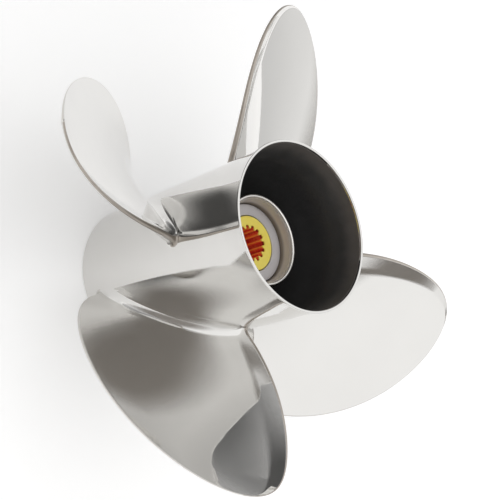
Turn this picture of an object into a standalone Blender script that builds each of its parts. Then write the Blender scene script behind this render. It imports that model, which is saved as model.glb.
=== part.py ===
"""Four-blade outboard propeller with exhaust through its hub, standing on the front end of its barrel.

Metres, +Z up. +Z is the shaft axis and points aft, and the origin is the centre of the barrel's front face.
Seen from aft the propeller turns clockwise to drive ahead, so each blade's leading edge is its clockwise one.
"""

import math

import bmesh
import bpy
import numpy as np

# Driving dimensions
TIP_RADIUS = 0.1794
BARREL_LENGTH = 0.167
BARREL_FRONT_RADIUS = 0.0547
BARREL_AFT_RADIUS = 0.0573
BARREL_FRONT_ROUND = 0.003
BARREL_WALL = 0.0042
LIP_RADIUS = 0.0592
LIP_LENGTH = 0.004
LIP_SHOULDER = 0.0016
LIP_EDGE = 0.0004
LIP_FACE = 0.0009
NECK_DEPTH = 0.008
NECK_WALL = 0.0025
MOUTH_DEPTH = 0.028
FRONT_WALL = 0.007
FRONT_WALL_DEPTH = 0.012
FRONT_WALL_TAPER = 0.013
BLADE_COUNT = 4
RIB_COUNT = 4
GAP = 0.0003

# Blade drawing, from root to tip at equal steps of the span. Angles are seen along the shaft.
SKEW_DEG = (0.0, -2.45, -8.7, -19.6)
HALF_CHORD_DEG = (34.5, 35.0, 31.7, 25.4)
RAKE = (0.0604, 0.0834, 0.1079, 0.1403)
PITCH = (0.446, 0.447, 0.453, 0.463)
FACE_HOLLOW = (-0.0097, 0.0015, 0.0040, 0.0070)
TIP_FULLNESS = 2.31
ROOT_THICKNESS = 0.0105
TIP_THICKNESS = 0.0034
EDGE_THICKNESS = 0.0024
THICKNESS_TAPER = 1.2
ROOT_FILLET = 0.008
ROOT_DEPTH = 0.005

# Inner hub and its rubber bush
HUB_RADIUS = 0.0326
HUB_BORE = 0.029
HUB_FRONT = 0.012
HUB_AFT = 0.1285
HUB_FLOOR = 0.012
HUB_FRONT_EDGE = 0.001
HUB_LIP_CHAMFER = 0.0014
HUB_LIP_TAPER = 0.0010
HUB_MOUTH_EDGE = 0.0006
RIB_THICKNESS = 0.007
RIB_FRONT = 0.028
RIB_AFT = 0.095
RIB_NOSE = 0.004
RIB_NOSE_SHARE = 0.3
RING_RADIUS = 0.0276
RING_BORE = 0.0198
RING_THICKNESS = 0.0034
SLEEVE_RADIUS = 0.0192
SLEEVE_AFT = 0.1183
TURNED_EDGE = 0.0004
SPLINE_TEETH = 15
SPLINE_ROOT_RADIUS = 0.0128
SPLINE_TIP_RADIUS = 0.0101
SLEEVE_BLANK_BORE = 0.0092

# One spline groove: places across it as shares of the tooth pitch, each with its share of the depth
GROOVE_OUTLINE = ((-0.3, 0.0), (-0.2, 0.72), (-0.1, 1.0), (0.1, 1.0), (0.2, 0.72), (0.3, 0.0))

# Mesh fineness
BARREL_SIDES = 64
HUB_SIDES = 48
BLADE_ROWS = 15
CHORD_STEPS = 12
FILLET_ROWS = (0.0, 0.08, 0.3, 0.6)
TIP_CROWDING = 1.8
TIP_STOP = 0.35
CUTTER_OVERRUN = 0.01


def clear_scene():
    for obj in list(bpy.data.objects):
        bpy.data.objects.remove(obj)


def material(name, colour, roughness, metallic):
    made = bpy.data.materials.new(name)
    made.use_nodes = True
    shader = made.node_tree.nodes["Principled BSDF"]
    shader.inputs["Base Color"].default_value = (*colour, 1.0)
    shader.inputs["Roughness"].default_value = roughness
    shader.inputs["Metallic"].default_value = metallic
    return made


def object_from(name, mesh, finish):
    obj = bpy.data.objects.new(name, mesh)
    bpy.context.scene.collection.objects.link(obj)
    if finish:
        mesh.materials.append(finish)
    return obj


def mesh_from(name, bm, sharp_deg=35.0):
    bmesh.ops.recalc_face_normals(bm, faces=bm.faces)
    mesh = bpy.data.meshes.new(name)
    bm.to_mesh(mesh)
    bm.free()
    mesh.shade_smooth()
    mesh.set_sharp_from_angle(angle=math.radians(sharp_deg))
    return mesh


def join_rings(bm, first, second):
    for i in range(len(first)):
        j = (i + 1) % len(first)
        bm.faces.new((first[i], first[j], second[j], second[i]))


def turned(name, profile, sides, finish):
    """A ring turned about +Z from a closed profile of (radius, height) points."""
    bm = bmesh.new()
    verts = [bm.verts.new((radius, 0.0, height)) for radius, height in profile]
    edges = [bm.edges.new((a, b)) for a, b in zip(verts, verts[1:] + verts[:1])]
    bmesh.ops.spin(
        bm,
        geom=verts + edges,
        cent=(0.0, 0.0, 0.0),
        axis=(0.0, 0.0, 1.0),
        angle=math.tau,
        steps=sides,
        use_merge=True,
    )
    return object_from(name, mesh_from(name, bm), finish)


def cut(obj, cutter):
    cutter.hide_render = True
    cutter.display_type = "WIRE"
    modifier = obj.modifiers.new("Cut", "BOOLEAN")
    modifier.operation = "DIFFERENCE"
    modifier.object = cutter


def arc(radius, centre, start_deg, end_deg, steps):
    """Points on an arc in the (radius, height) plane."""
    angles = np.radians(np.linspace(start_deg, end_deg, steps))
    return [(centre[0] + radius * math.cos(a), centre[1] + radius * math.sin(a)) for a in angles]


def barrel_radius(height):
    """Outer radius of the barrel, which widens evenly from its front end to the lip."""
    return BARREL_FRONT_RADIUS + (BARREL_AFT_RADIUS - BARREL_FRONT_RADIUS) * height / BARREL_LENGTH


def barrel_outside(extra=0.0):
    """The barrel's outer profile, from the front face round to the aft lip."""
    corner = (barrel_radius(0.0) - BARREL_FRONT_ROUND + extra, BARREL_FRONT_ROUND)
    points = arc(BARREL_FRONT_ROUND, corner, -90.0, 0.0, 4)
    lip_start = BARREL_LENGTH - LIP_LENGTH
    points.append((barrel_radius(lip_start) + extra, lip_start))
    points.append((LIP_RADIUS - LIP_EDGE + extra, BARREL_LENGTH - LIP_SHOULDER))
    points.append((LIP_RADIUS + extra, BARREL_LENGTH - LIP_EDGE))
    points.append((LIP_RADIUS - LIP_EDGE + extra, BARREL_LENGTH))
    return points


def inside_radius(height):
    """Inner radius of the barrel's straight stretch."""
    return barrel_radius(height) - BARREL_WALL


def barrel_inside():
    """The inner profile, from the aft lip down to the thicker wall at the front face."""
    neck = BARREL_LENGTH - NECK_DEPTH
    mouth = BARREL_LENGTH - MOUTH_DEPTH
    taper_end = FRONT_WALL_DEPTH + FRONT_WALL_TAPER
    front_bore = barrel_radius(0.0) - FRONT_WALL
    return [
        (LIP_RADIUS - LIP_EDGE - LIP_FACE, BARREL_LENGTH),
        (barrel_radius(neck) - NECK_WALL, neck),
        (inside_radius(mouth), mouth),
        (inside_radius(taper_end), taper_end),
        (front_bore, FRONT_WALL_DEPTH),
        (front_bore, 0.0),
    ]


def barrel(finish):
    return turned("barrel", barrel_outside() + barrel_inside(), BARREL_SIDES, finish)


def at_span(stations, span):
    """Smooth curve through four values given at equal steps of the span."""
    steps = np.linspace(0.0, 1.0, len(stations))
    total = 0.0
    for i, value in enumerate(stations):
        weight = 1.0
        for j, other in enumerate(steps):
            if j != i:
                weight *= (span - other) / (steps[i] - other)
        total += weight * value
    return total


def chord_steps():
    """Places across the blade, -1 at the leading edge and 1 at the trailing edge, closer at the edges."""
    return np.sin(np.linspace(-math.pi / 2, math.pi / 2, CHORD_STEPS + 1))


def face_line(span, radius):
    """The pressure face at one radius: angle and height across the chord."""
    across = chord_steps()
    round_off = math.sqrt(max(0.0, 1.0 - span**TIP_FULLNESS))
    half_chord = math.radians(at_span(HALF_CHORD_DEG, span)) * round_off
    angle = -math.radians(at_span(SKEW_DEG, span)) + half_chord * across
    rise = at_span(PITCH, span) / math.tau * half_chord * across
    hollow = at_span(FACE_HOLLOW, span) * round_off**2 * (1.0 - across**2)
    return angle, at_span(RAKE, span) + rise - hollow


def fillet_growth(radius):
    """How far the root fillet stands out on each side of the blade at this radius."""
    up = radius - barrel_radius(at_span(RAKE, 0.0))
    if up >= ROOT_FILLET:
        return 0.0
    up = max(up, 0.0)
    return ROOT_FILLET - math.sqrt(ROOT_FILLET**2 - (ROOT_FILLET - up) ** 2)


def section(span, radius):
    """One closed loop round the blade at one radius, its sides held on that cylinder."""
    angle, height = face_line(span, radius)
    across = chord_steps()
    along = radius * angle
    slope = np.arctan2(np.gradient(height), np.gradient(along))
    thickest = TIP_THICKNESS + (ROOT_THICKNESS - TIP_THICKNESS) * (1.0 - span) ** THICKNESS_TAPER
    thick = EDGE_THICKNESS + (thickest - EDGE_THICKNESS) * (1.0 - across**2)
    grown = fillet_growth(radius)
    along = along + grown * across * np.cos(slope)
    height = height + grown * across * np.sin(slope)
    aft = (along - grown * np.sin(slope), height + grown * np.cos(slope))
    front_offset = thick + grown
    front = (along + front_offset * np.sin(slope), height - front_offset * np.cos(slope))
    loop_along = np.concatenate([aft[0], front[0][::-1]]) / radius
    loop_height = np.concatenate([aft[1], front[1][::-1]])
    return [
        (radius * math.cos(a), radius * math.sin(a), z) for a, z in zip(loop_along, loop_height)
    ]


def blade_spans():
    """Span and radius of every section: under the barrel's skin, up the fillet, then out to the tip."""
    root = barrel_radius(at_span(RAKE, 0.0))
    reach = TIP_RADIUS - root
    heights = [-ROOT_DEPTH] + [share * ROOT_FILLET for share in FILLET_ROWS]
    for step in range(BLADE_ROWS + 1):
        left = (1.0 - step / (BLADE_ROWS + TIP_STOP)) ** TIP_CROWDING
        heights.append(reach - (reach - ROOT_FILLET) * left)
    return [(max(0.0, h / reach), root + h) for h in heights]


def blade_mesh():
    bm = bmesh.new()
    rings = [[bm.verts.new(p) for p in section(*place)] for place in blade_spans()]
    count = len(rings[0])
    for inner, outer in zip(rings, rings[1:]):
        join_rings(bm, inner, outer)
    for ring in (rings[0], rings[-1]):
        half = count // 2
        for i in range(half - 1):
            bm.faces.new((ring[i], ring[i + 1], ring[count - 2 - i], ring[count - 1 - i]))
    return mesh_from("blade", bm)


def blades(finish):
    """Four equal blades. Each root is trimmed to the barrel's skin, just clear of it."""
    skin = barrel_outside(extra=GAP)
    core = [(HUB_RADIUS, BARREL_LENGTH), (HUB_RADIUS, 0.0)]
    trim = turned("blade_trim", skin + core, BARREL_SIDES, None)
    mesh = blade_mesh()
    mesh.materials.append(finish)
    for number in range(BLADE_COUNT):
        blade = object_from(f"blade_{number + 1}", mesh, None)
        blade.rotation_euler.z = number * math.tau / BLADE_COUNT
        cut(blade, trim)


def inner_hub(finish):
    """The tube that holds the bush, with a floor at its front that the bush seats on."""
    floor = HUB_FRONT + HUB_FLOOR
    profile = [
        (RING_BORE, HUB_FRONT),
        (HUB_RADIUS - HUB_FRONT_EDGE, HUB_FRONT),
        (HUB_RADIUS, HUB_FRONT + HUB_FRONT_EDGE),
        (HUB_RADIUS, HUB_AFT - HUB_LIP_CHAMFER),
        (HUB_RADIUS - HUB_LIP_TAPER, HUB_AFT),
        (HUB_BORE + HUB_MOUTH_EDGE, HUB_AFT),
        (HUB_BORE, HUB_AFT - HUB_MOUTH_EDGE),
        (HUB_BORE, floor),
        (RING_BORE, floor),
    ]
    return turned("inner_hub", profile, HUB_SIDES, finish)


def rib_corners(height):
    """Four corners of a rib across the gap between the inner hub and the barrel at one height."""
    half = RIB_THICKNESS / 2
    inner = HUB_RADIUS + GAP
    flat = inside_radius(height) * math.cos(math.pi / BARREL_SIDES) - GAP
    outer = math.sqrt(flat**2 - half**2)
    return [(inner, -half), (outer, -half), (outer, half), (inner, half)]


def rib_mesh():
    """A flat web whose front and aft ends taper to a narrow nose."""
    bm = bmesh.new()
    rings = []
    for height, shoulder in ((RIB_FRONT, RIB_FRONT + RIB_NOSE), (RIB_AFT, RIB_AFT - RIB_NOSE)):
        ring = [bm.verts.new((x, y, shoulder)) for x, y in rib_corners(height)]
        nose = [bm.verts.new((v.co.x, RIB_NOSE_SHARE * v.co.y, height)) for v in ring]
        join_rings(bm, ring, nose)
        bm.faces.new(nose)
        rings.append(ring)
    join_rings(bm, rings[0], rings[1])
    return mesh_from("rib", bm)


def ribs(finish):
    """Four webs that carry the inner hub in the barrel and leave four exhaust passages."""
    mesh = rib_mesh()
    mesh.materials.append(finish)
    for number in range(RIB_COUNT):
        rib = object_from(f"rib_{number + 1}", mesh, None)
        rib.rotation_euler.z = (number + 0.5) * math.tau / RIB_COUNT


def rubber_bush(finish):
    front = HUB_FRONT + HUB_FLOOR + GAP
    aft = SLEEVE_AFT - RING_THICKNESS - GAP
    outer, inner = HUB_BORE - GAP, SLEEVE_RADIUS + GAP
    profile = [(inner, front), (outer, front), (outer, aft), (inner, aft)]
    return turned("rubber_bush", profile, HUB_SIDES, finish)


def bush_end_ring(finish):
    """Flat ring bonded to the aft end of the bush."""
    front = SLEEVE_AFT - RING_THICKNESS
    profile = [
        (RING_BORE, front),
        (RING_RADIUS, front),
        (RING_RADIUS, SLEEVE_AFT - TURNED_EDGE),
        (RING_RADIUS - TURNED_EDGE, SLEEVE_AFT),
        (RING_BORE, SLEEVE_AFT),
    ]
    return turned("bush_end_ring", profile, HUB_SIDES, finish)


def spline_outline():
    """The bore's shape seen along the shaft: round-ended grooves between the teeth."""
    pitch = math.tau / SPLINE_TEETH
    outline = []
    for tooth in range(SPLINE_TEETH):
        for share, depth in GROOVE_OUTLINE:
            radius = SPLINE_TIP_RADIUS + depth * (SPLINE_ROOT_RADIUS - SPLINE_TIP_RADIUS)
            angle = (tooth + share) * pitch
            outline.append((radius * math.cos(angle), radius * math.sin(angle)))
    return outline


def spline_cutter():
    """A toothed bar of the bore's shape, longer than the sleeve."""
    bm = bmesh.new()
    front = HUB_FRONT - CUTTER_OVERRUN
    face = bm.faces.new([bm.verts.new((x, y, front)) for x, y in spline_outline()])
    pulled = bmesh.ops.extrude_face_region(bm, geom=[face])["geom"]
    moved = [item for item in pulled if isinstance(item, bmesh.types.BMVert)]
    length = SLEEVE_AFT - HUB_FRONT + 2 * CUTTER_OVERRUN
    bmesh.ops.translate(bm, vec=(0.0, 0.0, length), verts=moved)
    return object_from("spline_cutter", mesh_from("spline_cutter", bm), None)


def spline_sleeve(finish):
    """Brass core of the bush: a turned blank, bored small and then splined for the shaft."""
    profile = [
        (SLEEVE_BLANK_BORE, HUB_FRONT),
        (SLEEVE_RADIUS - TURNED_EDGE, HUB_FRONT),
        (SLEEVE_RADIUS, HUB_FRONT + TURNED_EDGE),
        (SLEEVE_RADIUS, SLEEVE_AFT - TURNED_EDGE),
        (SLEEVE_RADIUS - TURNED_EDGE, SLEEVE_AFT),
        (SLEEVE_BLANK_BORE, SLEEVE_AFT),
    ]
    sleeve = turned("spline_sleeve", profile, HUB_SIDES, finish)
    cut(sleeve, spline_cutter())


def build():
    clear_scene()
    polished = material("polished_stainless", (0.78, 0.77, 0.75), 0.08, 1.0)
    satin = material("satin_stainless", (0.62, 0.59, 0.55), 0.3, 1.0)
    cast = material("blade_stainless", (0.8, 0.79, 0.77), 0.16, 1.0)
    rubber = material("black_rubber", (0.02, 0.02, 0.02), 0.8, 0.0)
    plate = material("ring_steel", (0.72, 0.7, 0.7), 0.45, 0.6)
    brass = material("sleeve_brass", (0.85, 0.72, 0.2), 0.4, 0.8)
    barrel(polished)
    blades(cast)
    inner_hub(satin)
    ribs(satin)
    rubber_bush(rubber)
    bush_end_ring(plate)
    spline_sleeve(brass)


build()
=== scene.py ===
import math
import bpy
import numpy as np
from mathutils import Matrix, Vector


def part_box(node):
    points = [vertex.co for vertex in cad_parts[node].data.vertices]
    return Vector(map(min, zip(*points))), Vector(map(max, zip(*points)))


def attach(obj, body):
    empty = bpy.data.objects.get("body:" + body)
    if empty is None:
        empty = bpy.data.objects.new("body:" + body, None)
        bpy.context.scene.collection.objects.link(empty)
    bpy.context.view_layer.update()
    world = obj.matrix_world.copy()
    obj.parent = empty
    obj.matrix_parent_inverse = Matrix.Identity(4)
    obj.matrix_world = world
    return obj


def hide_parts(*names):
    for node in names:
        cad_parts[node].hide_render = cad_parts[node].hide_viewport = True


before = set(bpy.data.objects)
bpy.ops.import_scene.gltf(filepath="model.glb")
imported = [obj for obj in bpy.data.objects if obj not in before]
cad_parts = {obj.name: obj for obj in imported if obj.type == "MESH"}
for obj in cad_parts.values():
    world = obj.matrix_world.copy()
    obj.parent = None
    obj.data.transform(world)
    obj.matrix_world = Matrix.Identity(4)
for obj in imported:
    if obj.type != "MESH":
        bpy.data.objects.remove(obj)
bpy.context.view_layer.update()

# Camera. The photograph is taken with a long lens from aft and above, with the shaft axis running
# up to the right, so the camera is rolled a good way round its own sight line.
CAMERA_PLACE = (-0.5974, 0.4073, 0.7864)
CAMERA_SIGHT = (0.6030, -0.4162, -0.6806)
CAMERA_ROLL = math.radians(71.5)
CAMERA_LENS = 104.1
CAMERA_FILM = 36.0

back = -Vector(CAMERA_SIGHT).normalized()
level = Vector((0.0, 0.0, 1.0)).cross(back).normalized()
turn = Matrix((level, back.cross(level), back)).transposed() @ Matrix.Rotation(CAMERA_ROLL, 3, "Z")
bpy.ops.object.camera_add(location=CAMERA_PLACE, rotation=turn.to_euler())
camera = bpy.context.object
camera.data.lens = CAMERA_LENS
camera.data.sensor_width = CAMERA_FILM
bpy.context.scene.camera = camera
bpy.context.scene.view_settings.view_transform = "Standard"

# Barrel shell. The outer tube of the stainless casting, ground and buffed to a mirror. It widens
# a little towards the aft end, where it flares into a lip and the wall thins from inside.
BARREL_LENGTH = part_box("barrel")[1].z
FRONT_RADIUS = 0.0547
AFT_RADIUS = 0.0573
FRONT_ROUND = 0.003
SKIN_START = 0.008
SKIN_STEPS = 32
LIP_RADIUS = 0.0592
LIP_START = 0.1460
LIP_STEPS = 20
LIP_FACE = 0.0009
LIP_ROUND = 0.0005
WALL = 0.0042
WALL_START = 0.025
THINNING_START = 0.139
THINNING_END = 0.1655
THINNING_STEPS = 14
FRONT_WALL = 0.007
FRONT_WALL_END = 0.012
BARREL_SIDES = 192
TURNED_EDGE_DEG = 35.0
STEEL = ((0.70, 0.69, 0.67), (0.74, 0.73, 0.71))


def barrel_radius(height):
    return FRONT_RADIUS + (AFT_RADIUS - FRONT_RADIUS) * height / BARREL_LENGTH


def arc(radius, centre, start, end, steps):
    """Points on an arc, in degrees, in the plane of radius and height."""
    angles = np.radians(np.linspace(start, end, steps))
    return [(centre[0] + radius * math.cos(a), centre[1] + radius * math.sin(a)) for a in angles]


def eased(start, end, steps):
    """Points from start to end on a curve that leaves both ends along the shaft axis."""
    shares = np.linspace(0.0, 1.0, steps)
    return [
        (start[0] + (end[0] - start[0]) * s * s * (3.0 - 2.0 * s), start[1] + (end[1] - start[1]) * s)
        for s in shares
    ]


def turned(name, profile, sides):
    """A turned piece: one circle, pulled and resized from point to point round its closed profile."""
    bpy.ops.object.select_all(action="DESELECT")
    radius, height = profile[0]
    bpy.ops.mesh.primitive_circle_add(vertices=sides, radius=radius, location=(0.0, 0.0, height))
    piece = bpy.context.object
    piece.name = name
    piece.data.name = name
    bpy.ops.object.transform_apply(location=True, rotation=True, scale=True)
    bpy.ops.object.mode_set(mode="EDIT")
    bpy.ops.mesh.select_all(action="SELECT")
    for (old, low), (new, high) in zip(profile, profile[1:] + profile[:1]):
        bpy.ops.mesh.extrude_region_move(TRANSFORM_OT_translate={"value": (0.0, 0.0, high - low)})
        bpy.ops.transform.resize(value=(new / old, new / old, 1.0), center_override=(0.0, 0.0, high))
    bpy.ops.mesh.select_all(action="SELECT")
    bpy.ops.mesh.remove_doubles(threshold=1e-6)
    bpy.ops.mesh.normals_make_consistent(inside=False)
    bpy.ops.object.mode_set(mode="OBJECT")
    bpy.ops.object.shade_smooth_by_angle(angle=math.radians(TURNED_EDGE_DEG))
    return piece


def settle(piece, slot, *nodes):
    """The piece rides on the propeller's one body and stands for its CAD nodes."""
    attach(piece, "root")
    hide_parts(*nodes)


class Wire:
    """A shader value that Python's own operators add Math nodes to."""

    def __init__(self, finish, socket):
        self.finish = finish
        self.socket = socket

    def math(self, operation, *others):
        return self.finish.node("ShaderNodeMath", {"operation": operation}, [self, *others])[0]

    def __add__(self, other):
        return self.math("ADD", other)

    __radd__ = __add__

    def __sub__(self, other):
        return self.math("SUBTRACT", other)

    def __rsub__(self, other):
        return self.finish.node("ShaderNodeMath", {"operation": "SUBTRACT"}, [other, self])[0]

    def __mul__(self, other):
        return self.math("MULTIPLY", other)

    __rmul__ = __mul__

    def __pow__(self, other):
        return self.math("POWER", other)


class Outputs:
    """A node's outputs, as wires, by number or by name."""

    def __init__(self, finish, node):
        self.finish = finish
        self.node = node

    def __getitem__(self, key):
        return Wire(self.finish, self.node.outputs[key])


class Finish:
    """A material whose nodes are added by calls, ending in one Principled shader."""

    def __init__(self, name, **constants):
        self.material = bpy.data.materials.new(name)
        self.material.use_nodes = True
        self.tree = self.material.node_tree
        self.shader = self.tree.nodes["Principled BSDF"]
        for key, value in constants.items():
            self.shader.inputs[key.replace("_", " ")].default_value = value
        self.place = self.node("ShaderNodeTexCoord")["Object"]

    def node(self, kind, settings=None, inputs=()):
        """A new node: its type, its settings, and its sockets' values or wires by number or name."""
        made = self.tree.nodes.new(kind)
        for key, value in (settings or {}).items():
            setattr(made, key, value)
        pairs = inputs.items() if isinstance(inputs, dict) else enumerate(inputs)
        for key, value in pairs:
            self.feed(made.inputs[key], value)
        return Outputs(self, made)

    def feed(self, socket, value):
        if isinstance(value, Wire):
            self.tree.links.new(value.socket, socket)
        else:
            socket.default_value = value

    def stretched(self, scale):
        """Object coordinates, scaled differently along each axis."""
        return self.node("ShaderNodeMapping", {}, {"Vector": self.place, "Scale": scale})["Vector"]

    def noise(self, scale, detail=3.0, vector=None):
        inputs = {"Vector": vector or self.place, "Scale": scale, "Detail": detail}
        return self.node("ShaderNodeTexNoise", {}, inputs)["Fac"]

    def between(self, value, low, high, to_low=0.0, to_high=1.0):
        settings = {"interpolation_type": "SMOOTHSTEP"}
        inputs = {"Value": value, "From Min": low, "From Max": high, "To Min": to_low, "To Max": to_high}
        return self.node("ShaderNodeMapRange", settings, inputs)["Result"]

    def mixed(self, factor, first, second):
        """A colour between two, each of them three numbers or a wire."""
        first, second = (c if isinstance(c, Wire) else (*c, 1.0) for c in (first, second))
        return self.node("ShaderNodeMix", {"data_type": "RGBA"}, {0: factor, 6: first, 7: second})[2]

    def bumped(self, height, distance, strength=1.0, normal=None):
        inputs = {"Height": height, "Distance": distance, "Strength": strength}
        if normal:
            inputs["Normal"] = normal
        return self.node("ShaderNodeBump", {}, inputs)["Normal"]

    def from_shaft(self):
        """Radius about the shaft, and height along it."""
        parts = self.node("ShaderNodeSeparateXYZ", {}, [self.place])
        return (parts[0] ** 2.0 + parts[1] ** 2.0) ** 0.5, parts[2]

    def finished(self, **wires):
        for key, value in wires.items():
            self.feed(self.shader.inputs[key.replace("_", " ")], value)
        return self.material


outside = arc(FRONT_ROUND, (FRONT_RADIUS - FRONT_ROUND, FRONT_ROUND), -90.0, 0.0, 10)
outside += [(barrel_radius(h), h) for h in np.linspace(SKIN_START, LIP_START, SKIN_STEPS)]
flare_end = BARREL_LENGTH - LIP_ROUND
flare = LIP_RADIUS - barrel_radius(flare_end)
for share in np.linspace(0.0, 1.0, LIP_STEPS)[1:-1]:
    height = LIP_START + (flare_end - LIP_START) * share
    outside.append((barrel_radius(height) + flare * share * share, height))
outside += arc(LIP_ROUND, (LIP_RADIUS - LIP_ROUND, flare_end), 0.0, 90.0, 6)
lip_inside = LIP_RADIUS - LIP_ROUND - LIP_FACE
throat = eased(
    (lip_inside - LIP_ROUND, THINNING_END),
    (barrel_radius(THINNING_START) - WALL, THINNING_START),
    THINNING_STEPS,
)
throat += [(barrel_radius(WALL_START) - WALL, WALL_START), (FRONT_RADIUS - FRONT_WALL, FRONT_WALL_END)]
inside = arc(LIP_ROUND, (lip_inside, flare_end), 90.0, 180.0, 5)
inside += throat + [(FRONT_RADIUS - FRONT_WALL, 0.0)]
barrel = turned("barrel_shell", outside + inside, BARREL_SIDES)
settle(barrel, "polished_steel", "barrel")

finish = Finish("mirror_stainless", Metallic=1.0)
buffing = finish.noise(60.0, 4.0, finish.stretched((1.0, 1.0, 14.0)))
colour = finish.mixed(finish.noise(38.0), *STEEL)
rough = finish.between(buffing, 0.3, 0.75, 0.02, 0.055)
waves = finish.bumped(finish.noise(26.0, 1.0), 0.0006, 0.2)
lines = finish.bumped(finish.noise(220.0, 3.0, finish.stretched((1.0, 1.0, 22.0))), 0.00002, 0.5, waves)
barrel.data.materials.append(finish.finished(Base_Color=colour, Roughness=rough, Normal=lines))

# Barrel lining. The inside of the barrel is left as cast under a thin dark baked coating, which
# stops just short of the lip. Towards the mouth it turns to a lighter, partly metallic brown-grey band,
# a painted sheen, and deep inside it is painted lighter, as painted light against the shade there.
COATING = 0.0002
LINING_SET_BACK = 0.0002
LINING_FRONT = 0.0006
# The band towards the mouth that carries a painted sheen: lighter brown-grey, partly metallic, ragged
# edged.
SHEEN_BAND = (0.150, 0.1665)
SHEEN_RAGGED = 0.006
SHEEN_METALLIC = 0.3
# Painted light: the coating's colour grows lighter from the mouth to the front, against the shade deep
# inside.
DEEP_PAINTED_LIGHT_SPAN = (0.02, 0.15)
COATING_SHADE = ((0.028, 0.028, 0.028), (0.034, 0.033, 0.033))
DEEP_PAINTED_LIGHT = ((0.11, 0.11, 0.11), (0.13, 0.128, 0.128))
PAINTED_SHEEN_SHADE = (0.14, 0.128, 0.118)


def lining_skin(offset):
    """The barrel's inner wall moved sideways, and set back from the mouth."""
    moved = [(r + offset, h - LINING_SET_BACK) for r, h in throat]
    return moved + [(FRONT_RADIUS - FRONT_WALL + offset, LINING_FRONT)]


lining = turned("barrel_lining", lining_skin(-COATING) + lining_skin(COATING)[::-1], BARREL_SIDES)
settle(lining, "dark_casting", "barrel")

finish = Finish("dark_baked_coating", Specular_IOR_Level=0.5)
radius, height = finish.from_shaft()
grain = finish.noise(700.0, 4.0)
cast = finish.noise(90.0, 5.0)
# Painted sheen: a lighter, partly metallic brown-grey band towards the mouth.
painted_sheen = finish.between(height + (cast - 0.5) * SHEEN_RAGGED, *SHEEN_BAND)
# Painted light: the coating is painted lighter deep inside the barrel, where shade falls.
near_mouth = finish.between(height, *DEEP_PAINTED_LIGHT_SPAN)
coating_and_painted_light = finish.mixed(near_mouth, finish.mixed(cast, *DEEP_PAINTED_LIGHT), finish.mixed(cast, *COATING_SHADE))
colour = finish.mixed(painted_sheen, coating_and_painted_light, PAINTED_SHEEN_SHADE)
rough = finish.between(cast, 0.3, 0.7, 0.42, 0.58)
skin = finish.bumped(grain, 0.00012, 0.6, finish.bumped(cast, 0.0003, 0.4))
lining.data.materials.append(
    finish.finished(Base_Color=colour, Roughness=rough, Metallic=painted_sheen * SHEEN_METALLIC, Normal=skin)
)

# Blades. Four equal right-handed blades, cast in one with the barrel and blended into it by a wide
# polished fillet. The face is full at the root and hollow at the tip, with a cup rolled into its
# trailing edge. The blunt edge is ground to a duller satin, most of all behind the cup.
BLADE_COUNT = 4
TIP_RADIUS = 0.1794
SKEW_DEG = (0.0, -2.45, -8.7, -19.6)
HALF_CHORD_DEG = (34.5, 35.0, 31.7, 25.4)
RAKE = (0.0604, 0.0834, 0.1079, 0.1403)
PITCH = (0.446, 0.447, 0.453, 0.463)
FACE_HOLLOW = (-0.0097, 0.0015, 0.0040, 0.0070)
TIP_FULLNESS = 2.31
ROOT_THICKNESS = 0.0105
TIP_THICKNESS = 0.0034
THICKNESS_TAPER = 1.2
ROOT_EDGE_THICKNESS = 0.0044
EDGE_THICKNESS = 0.0020
CUP_START = 0.86
CUP_RISE = 0.0024
CUP_CREASE = 0.05
CUP_SETTLED = -0.4
CUP_FULL_SPAN = 0.12
CUP_FULL_ROUND = 0.5
ROOT_FILLET = 0.008
ROOT_FOOT = 0.003
ROOT_SINK = 0.0006
FILLET_AT_EDGES = 0.4
FILLET_NARROWING = 8
BARREL_LEAN = 4
CHORD_STEPS = 56
NOSE_STEPS = 7
SPAN_STEPS = 84
FILLET_STEPS = 12
TIP_CROWDING = 1.8
TIP_STOP = 0.12
TRAILING_GRIND = 1.0
LEADING_GRIND = 0.4
SATIN_ROUGHNESS = 0.25
SATIN = ((0.33, 0.295, 0.26), (0.48, 0.44, 0.395))


def at_span(stations, span):
    """Smooth curve through values given at equal steps of the span."""
    steps = np.linspace(0.0, 1.0, len(stations))
    total = 0.0
    for i, value in enumerate(stations):
        weight = 1.0
        for j, other in enumerate(steps):
            if j != i:
                weight *= (span - other) / (steps[i] - other)
        total += weight * value
    return total


def cup(across):
    """How far the cup lifts the face: a bend near the trailing edge, set down again before it."""
    reach = (across - CUP_START) / (1.0 - CUP_START)
    bend = (reach + np.sqrt(reach**2 + CUP_CREASE**2)) / 2.0
    end = (1.0 + math.sqrt(1.0 + CUP_CREASE**2)) / 2.0
    settled = np.clip((across - CUP_SETTLED) / (1.0 - CUP_SETTLED), 0.0, 1.0) ** 2
    return bend / end - settled


def nose(start, end):
    """Points round a blunt edge, from one side of the blade to the other."""
    middle = (start + end) / 2
    arm = start - middle
    out = np.array([arm[1], -arm[0]])
    angles = np.linspace(0.0, math.pi, NOSE_STEPS + 2)[1:-1]
    return [middle + arm * math.cos(a) + out * math.sin(a) for a in angles]


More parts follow.
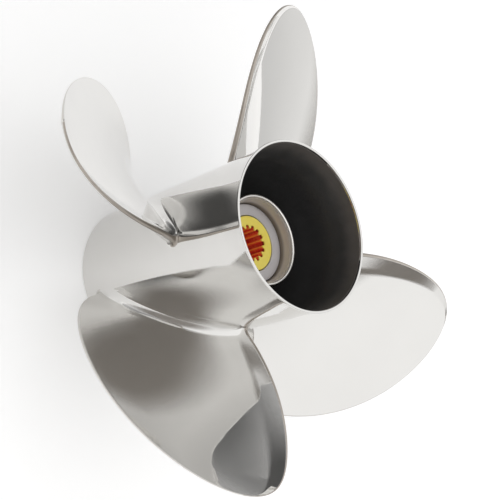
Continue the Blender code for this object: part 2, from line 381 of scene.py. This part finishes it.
def blade_section(span, radius):
    """The blade cut by a cylinder and rolled flat: the face, one nose, the rear and the other nose."""
    across = np.sin(np.linspace(-math.pi / 2, math.pi / 2, CHORD_STEPS + 1))
    round_off = math.sqrt(max(0.0, 1.0 - span**TIP_FULLNESS))
    half_chord = math.radians(at_span(HALF_CHORD_DEG, span)) * round_off
    run = radius * (-math.radians(at_span(SKEW_DEG, span)) + half_chord * across)
    rise = at_span(PITCH, span) / math.tau * half_chord * across
    hollow = at_span(FACE_HOLLOW, span) * round_off**2 * (1.0 - across**2)
    cup_share = min(1.0, span / CUP_FULL_SPAN) * min(1.0, round_off / CUP_FULL_ROUND)
    height = at_span(RAKE, span) + rise - hollow + CUP_RISE * cup_share * cup(across)
    slope = np.arctan2(np.gradient(height), np.gradient(run))
    thickest = TIP_THICKNESS + (ROOT_THICKNESS - TIP_THICKNESS) * (1.0 - span) ** THICKNESS_TAPER
    edge = EDGE_THICKNESS + (ROOT_EDGE_THICKNESS - EDGE_THICKNESS) * (1.0 - span)
    thick = edge + (thickest - edge) * (1.0 - across**2)
    face = np.stack([run, height], axis=1)
    rear = face + np.stack([np.sin(slope), -np.cos(slope)], axis=1) * thick[:, None]
    return np.array([*face, *nose(face[-1], rear[-1]), *rear[::-1], *nose(rear[0], face[0])])


def with_fillet(section, grown):
    """The section grown outwards, less so towards its two ends."""
    across = np.sin(np.linspace(-math.pi / 2, math.pi / 2, CHORD_STEPS + 1))
    wide = 1.0 - (1.0 - FILLET_AT_EDGES) * across**FILLET_NARROWING
    ends = [FILLET_AT_EDGES] * NOSE_STEPS
    growth = grown * np.array([*wide, *ends, *wide[::-1], *ends])[:, None]
    way = np.roll(section, -1, axis=0) - np.roll(section, 1, axis=0)
    way /= np.linalg.norm(way, axis=1)[:, None]
    return section + np.stack([-way[:, 1], way[:, 0]], axis=1) * growth


def blade_loop(span, radius, grown):
    """One closed loop round the blade, on a cylinder that leans with the barrel near the root."""
    lean = (1.0 - span) ** BARREL_LEAN
    root = barrel_radius(at_span(RAKE, 0.0))
    points = []
    for x, z in with_fillet(blade_section(span, radius), grown):
        r = radius + (barrel_radius(z) - root) * lean
        points.append((r * math.cos(x / radius), r * math.sin(x / radius), z))
    return points


def blade_places():
    """Span, radius and fillet growth of each loop, from under the skin to the tip."""
    root = barrel_radius(at_span(RAKE, 0.0))
    reach = TIP_RADIUS - root
    places = [(0.0, root - ROOT_SINK, ROOT_FILLET + ROOT_FOOT)]
    for a in np.linspace(0.0, math.pi / 2, FILLET_STEPS + 1):
        up = ROOT_FILLET * (1.0 - math.cos(a))
        places.append((up / reach, root + up, ROOT_FILLET * (1.0 - math.sin(a))))
    for step in range(1, SPAN_STEPS + 1):
        left = (1.0 - step / (SPAN_STEPS + TIP_STOP)) ** TIP_CROWDING
        up = reach - (reach - ROOT_FILLET) * left
        places.append((up / reach, root + up, 0.0))
    return places


def lofted(loops, capped=False):
    """Loops of points joined in order: a circle is extruded once for each, then all are placed."""
    bpy.ops.object.select_all(action="DESELECT")
    bpy.ops.mesh.primitive_circle_add(vertices=len(loops[0]))
    piece = bpy.context.object
    bpy.ops.object.mode_set(mode="EDIT")
    bpy.ops.mesh.select_all(action="SELECT")
    for loop in loops[1:]:
        bpy.ops.mesh.extrude_region_move(TRANSFORM_OT_translate={"value": (0.0, 0.0, 1.0)})
    if capped:
        bpy.ops.mesh.edge_face_add()
    bpy.ops.object.mode_set(mode="OBJECT")
    points = [point for loop in loops for point in loop]
    piece.data.vertices.foreach_set("co", np.array(points).ravel())
    return piece


def set_round(piece, count, name, slot, node):
    """The piece and its copies at equal turns about the shaft, each with a mesh of its own."""
    for number in range(1, count + 1):
        if number > 1:
            piece = piece.copy()
            piece.data = piece.data.copy()
            bpy.context.scene.collection.objects.link(piece)
            piece.data.transform(Matrix.Rotation(math.tau / count, 4, "Z"))
        piece.name = f"{name}_{number}"
        settle(piece, slot, f"{node}_{number}")


places = blade_places()
blade = lofted([blade_loop(*place) for place in places], capped=True)
bpy.ops.object.mode_set(mode="EDIT")
bpy.ops.mesh.select_all(action="SELECT")
bpy.ops.mesh.normals_make_consistent(inside=False)
bpy.ops.object.mode_set(mode="OBJECT")
blade.data.shade_smooth()
side = [0.0] * (CHORD_STEPS + 1)
ground = side + [TRAILING_GRIND] * NOSE_STEPS + side + [LEADING_GRIND] * NOSE_STEPS
blade.data.attributes.new("ground_edge", "FLOAT", "POINT").data.foreach_set("value", ground * len(places))

finish = Finish("buffed_blade_stainless", Metallic=1.0)
strokes = finish.noise(120.0, 4.0, finish.stretched((1.0, 1.0, 0.25)))
ground_edge = finish.node("ShaderNodeAttribute", {"attribute_name": "ground_edge"})["Fac"]
bright = finish.mixed(finish.noise(30.0), *STEEL)
colour = finish.mixed(ground_edge, bright, finish.mixed(strokes, *SATIN))
rough = finish.between(strokes, 0.3, 0.75, 0.025, 0.065) + ground_edge * SATIN_ROUGHNESS
waves = finish.bumped(finish.noise(24.0, 1.0), 0.0006, 0.14)
waves = finish.bumped(finish.noise(75.0, 1.0), 0.0001, 0.16, waves)
blade.data.materials.append(finish.finished(Base_Color=colour, Roughness=rough, Normal=waves))
set_round(blade, BLADE_COUNT, "propeller_blade", "blade_steel", "blade")

# Inner hub. A heavy tube on the shaft axis, machined at its aft end to a narrow lip, that
# holds the rubber bush. Its floor at the front carries the thrust. The lip is painted near white,
# its bright metal with a painted highlight; its outer corner and the bore wall just above the bush
# are painted dark as shade.
HUB_RADIUS = 0.0326
HUB_BORE = 0.029
HUB_FRONT = 0.012
HUB_FLOOR = 0.024
HUB_AFT = 0.1285
HUB_SKIN_START = 0.02
HUB_CHAMFER = 0.001
HUB_CORNER = ((0.0, 0.0014), (0.0005, 0.0005), (0.0012, 0.0001))
HUB_LIP_ROUND = 0.0010
HUB_LIP_WIDTH = 0.0018
HUB_LIP_DEPTH = 0.002
HUB_SEAT = 0.028
HUB_SEAT_FRONT = 0.1151
HUB_SEAT_AFT = 0.1186
RING_BORE = 0.0198
HUB_SIDES = 128
# Heights above the bush seat where the bore wall is painted dark brown: a painted shade in the recess.
HUB_PAINTED_SHADE_SPAN = (0.0009, 0.0039)
HUB_TURNED = (0.0022, 0.0014)
HUB_INNER_LIP = (0.0014, 0.0008)
HUB_METALLIC = (0.35, 1.0)
HUB_PAINTED_SHADE = ((0.17, 0.125, 0.09), (0.30, 0.26, 0.21))
HUB_WALL_SHADE = ((0.46, 0.41, 0.38), (0.60, 0.555, 0.52))
# The lip's bright machined metal with a painted highlight, and the outer corner's painted shade.
HUB_LIP_HIGHLIGHT = (0.95, 0.92, 0.88)
HUB_CORNER_PAINTED_SHADE = (0.17, 0.145, 0.125)

profile = [(RING_BORE, HUB_FRONT)]
profile += [(HUB_RADIUS - HUB_CHAMFER, HUB_FRONT), (HUB_RADIUS, HUB_FRONT + HUB_CHAMFER)]
profile += [(HUB_RADIUS, h) for h in np.linspace(HUB_SKIN_START, HUB_AFT - HUB_CORNER[0][1], 12)]
profile += [(HUB_RADIUS - inward, HUB_AFT - down) for inward, down in HUB_CORNER[1:]]
profile += arc(HUB_LIP_ROUND, (HUB_BORE + HUB_LIP_WIDTH, HUB_AFT - HUB_LIP_ROUND), 90.0, 165.0, 6)
profile += [(HUB_BORE, HUB_AFT - HUB_LIP_DEPTH), (HUB_SEAT, HUB_SEAT_AFT), (HUB_SEAT, HUB_SEAT_FRONT)]
profile += [(HUB_BORE, HUB_SEAT_FRONT), (HUB_BORE, HUB_FLOOR), (RING_BORE, HUB_FLOOR)]
hub = turned("inner_hub_tube", profile, HUB_SIDES)
settle(hub, "satin_steel", "inner_hub")

finish = Finish("machined_stainless")
radius, height = finish.from_shaft()
rings = finish.noise(500.0, 3.0, finish.stretched((0.05, 0.05, 1.0)))
stain_and_shade_cloud = finish.noise(60.0, 4.0)
# Painted shade: the bore wall is painted dark brown just above the bush end ring; higher up it keeps its
# own mottled tone.
above_painted_shade = finish.between(height, HUB_SEAT_AFT + HUB_PAINTED_SHADE_SPAN[0], HUB_SEAT_AFT + HUB_PAINTED_SHADE_SPAN[1])
wall = finish.mixed(above_painted_shade, finish.mixed(stain_and_shade_cloud, *HUB_PAINTED_SHADE), finish.mixed(stain_and_shade_cloud, *HUB_WALL_SHADE))
turned_edge = finish.between(height, HUB_AFT - HUB_TURNED[0], HUB_AFT - HUB_TURNED[1])
lip_from, lip_to = HUB_RADIUS - HUB_INNER_LIP[0], HUB_RADIUS - HUB_INNER_LIP[1]
inner_lip = finish.between(radius, lip_from, lip_to, 1.0, 0.0)
# At the turned aft end the lip is painted near white, a painted highlight, and the outer corner dark
# brown, a painted shade.
colour = finish.mixed(turned_edge, wall, finish.mixed(inner_lip, HUB_CORNER_PAINTED_SHADE, HUB_LIP_HIGHLIGHT))
rough = finish.between(rings, 0.3, 0.7, 0.30, 0.42)
bare_metal = finish.between(turned_edge, 0.0, 1.0, *HUB_METALLIC)
marks = finish.bumped(rings, 0.00006, 0.5)
hub.data.materials.append(
    finish.finished(Base_Color=colour, Roughness=rough, Metallic=bare_metal, Normal=marks)
)

# Ribs. Four cast webs that hold the inner hub in the middle of the barrel, under the same dark
# coating as the lining, with the same painted light deep in the barrel. Their ends are tapered so that
# the exhaust flows past.
RIB_COUNT = 4
RIB_THICKNESS = 0.007
RIB_FRONT = 0.028
RIB_AFT = 0.095
RIB_NOSE = 0.004
RIB_NOSE_SHARE = 0.3
RIB_SINK = 0.0006
RIB_ROUND = 0.0012
END_FACING = 0.9
CAST_EDGE_DEG = 40.0

bpy.ops.object.select_all(action="DESELECT")
inner = HUB_RADIUS - RIB_SINK
outer = barrel_radius(RIB_FRONT) - WALL
middle = ((inner + outer) / 2, 0.0, (RIB_FRONT + RIB_AFT) / 2)
bpy.ops.mesh.primitive_cube_add(size=1.0, location=middle)
rib = bpy.context.object
rib.scale = (outer - inner, RIB_THICKNESS, RIB_AFT - RIB_FRONT - 2 * RIB_NOSE)
bpy.ops.object.transform_apply(location=True, rotation=True, scale=True)
bpy.ops.object.mode_set(mode="EDIT")
for way in (-1.0, 1.0):
    bpy.ops.mesh.select_all(action="DESELECT")
    bpy.ops.object.mode_set(mode="OBJECT")
    for face in rib.data.polygons:
        face.select = face.normal.z * way > END_FACING
    bpy.ops.object.mode_set(mode="EDIT")
    bpy.ops.mesh.extrude_region_move(TRANSFORM_OT_translate={"value": (0.0, 0.0, way * RIB_NOSE)})
    bpy.ops.transform.resize(value=(1.0, RIB_NOSE_SHARE, 1.0), center_override=(0.0, 0.0, 0.0))
bpy.ops.object.mode_set(mode="OBJECT")
bevel = rib.modifiers.new("worn edges", "BEVEL")
bevel.width = RIB_ROUND
bevel.segments = 3
bpy.ops.object.modifier_apply(modifier=bevel.name)
bpy.ops.object.shade_smooth_by_angle(angle=math.radians(CAST_EDGE_DEG))
rib.data.materials.append(lining.data.materials[0])
rib.data.transform(Matrix.Rotation(math.pi / RIB_COUNT, 4, "Z"))
set_round(rib, RIB_COUNT, "hub_rib", "dark_casting", "rib")

# Rubber bush. Black moulded rubber between the hub and the splined sleeve, which lets the sleeve
# slip if a blade strikes something. Only a thin dark line of it shows round the end ring.
RING_RADIUS = 0.0276
RING_THICKNESS = 0.0034
SLEEVE_RADIUS = 0.0192
SLEEVE_AFT = 0.1183
BUSH_GAP = 0.0002
BUSH_ROUND = 0.0008
RUBBER = ((0.014, 0.013, 0.012), (0.032, 0.028, 0.024))

front, aft = HUB_FLOOR + BUSH_GAP, SLEEVE_AFT - RING_THICKNESS - BUSH_GAP
outer, inner = HUB_BORE - BUSH_GAP, SLEEVE_RADIUS + BUSH_GAP
profile = [(inner, front), (outer, front), (outer, aft - BUSH_ROUND)]
profile += arc(BUSH_ROUND, (outer - BUSH_ROUND, aft - BUSH_ROUND), 0.0, 90.0, 5) + [(inner, aft)]
bush = turned("rubber_bush_body", profile, HUB_SIDES)
settle(bush, "black_rubber", "rubber_bush")

finish = Finish("black_rubber")
grain = finish.bumped(finish.noise(900.0), 0.00008, 0.5)
bloom = finish.noise(45.0, 4.0)
colour = finish.mixed(bloom, *RUBBER)
rough = finish.between(bloom, 0.3, 0.7, 0.6, 0.8)
bush.data.materials.append(finish.finished(Base_Color=colour, Roughness=rough, Normal=grain))

# Bush end ring. A flat pale grey ring bonded to the aft end of the rubber, with fine turned marks
# and a small round on its rim.
RING_EDGE = 0.0005
RING_BORE_CHAMFER = 0.0003
RING_FACE = (RING_RADIUS - 0.002, RING_BORE + 0.001)
RING_MARKS = 9000.0
RING_GREY = ((0.50, 0.475, 0.48), (0.60, 0.575, 0.575))

profile = [(RING_BORE, SLEEVE_AFT - RING_THICKNESS), (RING_RADIUS, SLEEVE_AFT - RING_THICKNESS)]
profile += arc(RING_EDGE, (RING_RADIUS - RING_EDGE, SLEEVE_AFT - RING_EDGE), 0.0, 90.0, 5)
profile += [(r, SLEEVE_AFT) for r in np.linspace(*RING_FACE, 5)]
profile += [(RING_BORE + RING_BORE_CHAMFER, SLEEVE_AFT), (RING_BORE, SLEEVE_AFT - RING_BORE_CHAMFER)]
ring = turned("bush_end_plate", profile, HUB_SIDES)
settle(ring, "ring_steel", "bush_end_ring")

finish = Finish("turned_grey_ring", Metallic=0.35)
radius, height = finish.from_shaft()
marks = finish.bumped((radius * RING_MARKS).math("SINE"), 0.00001, 0.4)
cloud = finish.noise(80.0, 4.0)
colour = finish.mixed(cloud, *RING_GREY)
rough = finish.between(cloud, 0.3, 0.7, 0.38, 0.55)
ring.data.materials.append(finish.finished(Base_Color=colour, Roughness=rough, Normal=marks))

# Spline sleeve. The brass core of the bush, with round-ended grooves broached through it for the
# propeller shaft. Its aft face is painted yellow and the bore red. The tooth tips carry a painted
# highlight in orange, and the groove roots near the mouth a painted shade in dark red.
SPLINE_TEETH = 15
SPLINE_ROOT_RADIUS = 0.0128
SPLINE_TIP_RADIUS = 0.0101
SPLINE_STEPS = 24
SPLINE_CORNER = 1.9
SPLINE_WIDTH = 0.30
SPLINE_FLARE = 0.0003
SLEEVE_EDGE = 0.0004
# Painted highlight: how far out from the tooth tips the orange reaches, and how strongly.
TOOTH_HIGHLIGHT_BAND = 0.0012
TOOTH_HIGHLIGHT_STRENGTH = 0.7
# Painted shade: the band at the groove roots, near the mouth, that is painted dark red.
GROOVE_PAINTED_SHADE_BAND = (0.0009, 0.0002)
MOUTH_DEPTH = (0.0030, 0.0015)
MOUTH_SHARE = (0.35, 1.0)
PAINT_BORDER = 0.0006
PAINT_DEPTH = (0.0009, 0.0004)
YELLOW = ((0.90, 0.70, 0.07), (0.95, 0.82, 0.18))
RED = ((0.86, 0.06, 0.04), (1.0, 0.17, 0.06))
TOOTH_HIGHLIGHT_ORANGE = (1.0, 0.45, 0.06)
GROOVE_PAINTED_SHADE = (0.20, 0.012, 0.01)


def spline_points():
    """The bore seen along the shaft: rounded grooves between narrower rounded teeth."""
    count = SPLINE_TEETH * SPLINE_STEPS
    points = []
    for i in range(count):
        turn = i / count * math.tau
        wave = math.cos(turn * SPLINE_TEETH)
        share = 0.5 + 0.5 * math.tanh(SPLINE_CORNER * (wave + SPLINE_WIDTH))
        radius = SPLINE_TIP_RADIUS + (SPLINE_ROOT_RADIUS - SPLINE_TIP_RADIUS) * share
        points.append((radius, turn))
    return points


def ring_points(radii, turns, height):
    return [(r * math.cos(a), r * math.sin(a), height) for r, a in zip(radii, turns)]


bore, turns = zip(*spline_points())
flared = [r + SPLINE_FLARE for r in bore]
edge = [SLEEVE_RADIUS - SLEEVE_EDGE] * len(turns)
skin = [SLEEVE_RADIUS] * len(turns)
loops = [
    ring_points(flared, turns, HUB_FRONT),
    ring_points(bore, turns, HUB_FRONT + SLEEVE_EDGE),
    ring_points(bore, turns, SLEEVE_AFT - SLEEVE_EDGE),
    ring_points(flared, turns, SLEEVE_AFT),
    ring_points(edge, turns, SLEEVE_AFT),
    ring_points(skin, turns, SLEEVE_AFT - SLEEVE_EDGE),
    ring_points(skin, turns, HUB_FRONT + SLEEVE_EDGE),
    ring_points(edge, turns, HUB_FRONT),
]
sleeve = lofted(loops + loops[:1])
sleeve.name = "splined_sleeve"
bpy.ops.object.mode_set(mode="EDIT")
bpy.ops.mesh.select_all(action="SELECT")
bpy.ops.mesh.remove_doubles(threshold=1e-6)
bpy.ops.mesh.normals_make_consistent(inside=False)
bpy.ops.object.mode_set(mode="OBJECT")
bpy.ops.object.shade_smooth_by_angle(angle=math.radians(CAST_EDGE_DEG))
settle(sleeve, "sleeve_brass", "spline_sleeve")

finish = Finish("painted_brass_sleeve", Metallic=0.0, Roughness=0.4)
radius, height = finish.from_shaft()
speckle = finish.noise(900.0, 4.0)
cloud = finish.noise(150.0, 4.0)
yellow = finish.mixed(cloud, *YELLOW)
red = finish.mixed(finish.between(cloud + (speckle - 0.5), 0.35, 0.65), *RED)
# Painted highlight: the tooth tips of the red bore are painted orange.
tooth = finish.between(radius, SPLINE_TIP_RADIUS, SPLINE_TIP_RADIUS + TOOTH_HIGHLIGHT_BAND, 1.0, 0.0)
red = finish.mixed(tooth * TOOTH_HIGHLIGHT_STRENGTH, red, TOOTH_HIGHLIGHT_ORANGE)
# Painted shade: the groove roots are painted dark red near the mouth, where they lie in shade.
groove = finish.between(radius, *(SPLINE_ROOT_RADIUS - depth for depth in GROOVE_PAINTED_SHADE_BAND))
at_mouth = finish.between(height, *(SLEEVE_AFT - depth for depth in MOUTH_DEPTH), *MOUTH_SHARE)
red = finish.mixed(groove * at_mouth, red, GROOVE_PAINTED_SHADE)
in_bore = finish.between(radius, SPLINE_ROOT_RADIUS, SPLINE_ROOT_RADIUS + PAINT_BORDER, 1.0, 0.0)
below = finish.between(height, *(SLEEVE_AFT - depth for depth in PAINT_DEPTH), 1.0, 0.0)
colour = finish.mixed(in_bore * below, yellow, red)
grain = finish.bumped(speckle, 0.00005, 0.4)
sleeve.data.materials.append(finish.finished(Base_Color=colour, Normal=grain))

# Floor. A plain pale studio floor that runs out of the picture on every side. It glows a little, so
# that it looks as white as a well lit floor does.
FLOOR_SIZE = 12.0
FLOOR_GLOW = 0.3
FLOOR_PAPER = ((0.86, 0.86, 0.86), (0.88, 0.88, 0.88))

bpy.ops.object.select_all(action="DESELECT")
bpy.ops.mesh.primitive_plane_add(size=FLOOR_SIZE)
floor = bpy.context.object
floor.name = "studio_floor"
finish = Finish(
    "pale_floor", Roughness=0.7, Emission_Color=(1.0, 1.0, 1.0, 1.0), Emission_Strength=FLOOR_GLOW
)
colour = finish.mixed(finish.noise(3.0), *FLOOR_PAPER)
floor.data.materials.append(finish.finished(Base_Color=colour))

# Studio light. A white tent lights everything evenly and softly, a little more from above. Three
# plain scrims of grey gauze, thinning out to their edges, stand round it, as is usual for polished
# steel, which would otherwise mirror nothing but white. The camera sees only their reflections.
TENT_LIGHT_LOW = 0.75
TENT_LIGHT_TOP = 1.15
TENT_GRADE = (-0.1, 0.9)
SCRIM_DISTANCE = 0.9
SCRIM_AIM = Vector((0.0, 0.0, 0.1))
SCRIM_THICK_SHARE = 0.3
SCRIM_WEAVE = (0.96, 1.04)
SCRIMS = (
    # name, longitude and latitude in degrees, width, height, grey
    ("right", 40.0, 25.0, 2.2, 1.3, (0.12, 0.12, 0.12)),
    ("left", 240.0, 40.0, 1.6, 0.4, (0.30, 0.28, 0.26)),
    ("back", 125.0, 12.0, 2.4, 1.0, (0.34, 0.32, 0.30)),
)

world = bpy.data.worlds.new("studio_tent")
bpy.context.scene.world = world
world.use_nodes = True
nodes, links = world.node_tree.nodes, world.node_tree.links
way = nodes.new("ShaderNodeTexCoord")
parts = nodes.new("ShaderNodeSeparateXYZ")
grade = nodes.new("ShaderNodeMapRange")
grade.interpolation_type = "SMOOTHSTEP"
grade.inputs["From Min"].default_value, grade.inputs["From Max"].default_value = TENT_GRADE
grade.inputs["To Min"].default_value = TENT_LIGHT_LOW
grade.inputs["To Max"].default_value = TENT_LIGHT_TOP
links.new(way.outputs["Generated"], parts.inputs["Vector"])
links.new(parts.outputs["Z"], grade.inputs["Value"])
links.new(grade.outputs["Result"], nodes["Background"].inputs["Strength"])
nodes["Background"].inputs["Color"].default_value = (1.0, 1.0, 1.0, 1.0)

for name, longitude, latitude, wide, high, grey in SCRIMS:
    a, e = math.radians(longitude), math.radians(latitude)
    out = Vector((math.cos(e) * math.cos(a), math.cos(e) * math.sin(a), math.sin(e)))
    facing = (-out).to_track_quat("Z", "Y").to_euler()
    place = SCRIM_AIM + out * SCRIM_DISTANCE
    bpy.ops.object.select_all(action="DESELECT")
    bpy.ops.mesh.primitive_plane_add(size=1.0, location=place, rotation=facing)
    scrim = bpy.context.object
    scrim.name = f"gauze_{name}"
    scrim.scale = (wide, high, 1.0)
    bpy.ops.object.transform_apply(location=False, rotation=False, scale=True)
    scrim.visible_camera = False
    finish = Finish(f"grey_gauze_{name}", Roughness=1.0, Specular_IOR_Level=0.0)
    threads = (tuple(share * v for v in grey) for share in SCRIM_WEAVE)
    colour = finish.mixed(finish.noise(40.0), *threads)
    parts = finish.node("ShaderNodeSeparateXYZ", {}, [finish.place])
    outwards = ((parts[0] * (2.0 / wide)) ** 2.0 + (parts[1] * (2.0 / high)) ** 2.0) ** 0.5
    thickness = finish.between(outwards, SCRIM_THICK_SHARE, 1.0, 1.0, 0.0)
    scrim.data.materials.append(finish.finished(Base_Color=colour, Alpha=thickness))
